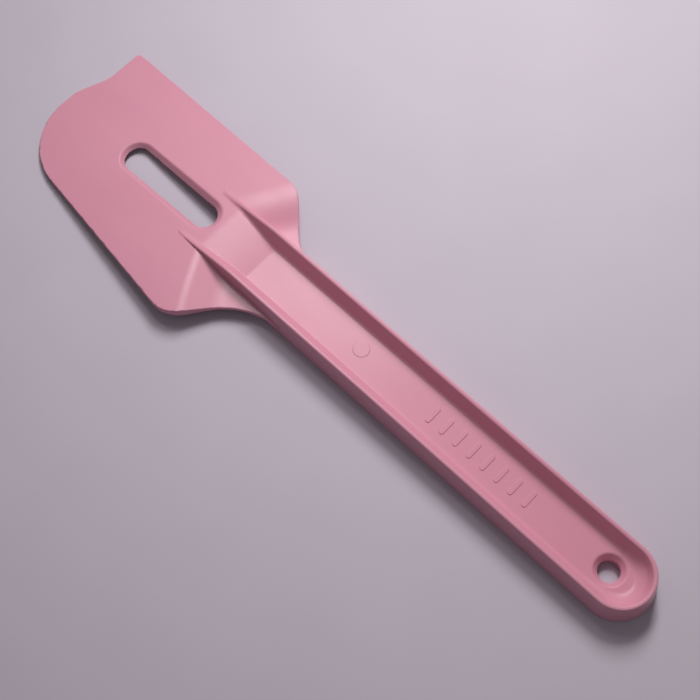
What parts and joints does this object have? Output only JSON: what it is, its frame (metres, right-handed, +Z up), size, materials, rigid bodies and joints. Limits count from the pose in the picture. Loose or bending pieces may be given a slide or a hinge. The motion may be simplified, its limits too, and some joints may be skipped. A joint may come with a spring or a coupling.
{
  "type": "scraper spatula",
  "caption": "One-piece plastic scraper spatula for bakery work, with a flanged handle, a hanging hole, and a thin flexible blade with a slot and one rounded corner.",
  "frame": {"origin": "middle of the whole outline seen from above, on the surface the spatula lies on", "axes": "+X along the handle towards the blade's tip, +Z up through the rim side, +Y towards the blade's tapered side and rounded corner"},
  "size_m": [0.2568, 0.0632, 0.0098],
  "materials": {
    "pink_plastic": "satin, as moulded"
  },
  "bodies": {
    "root": {"blade": "pink_plastic", "left_shoulder": "pink_plastic", "right_shoulder": "pink_plastic", "neck_ramp": "pink_plastic", "handle_floor": "pink_plastic", "left_rail": "pink_plastic", "right_rail": "pink_plastic", "end_bow": "pink_plastic", "grip_bars": "pink_plastic", "gate_mark": "pink_plastic"}
  },
  "joints": []
}
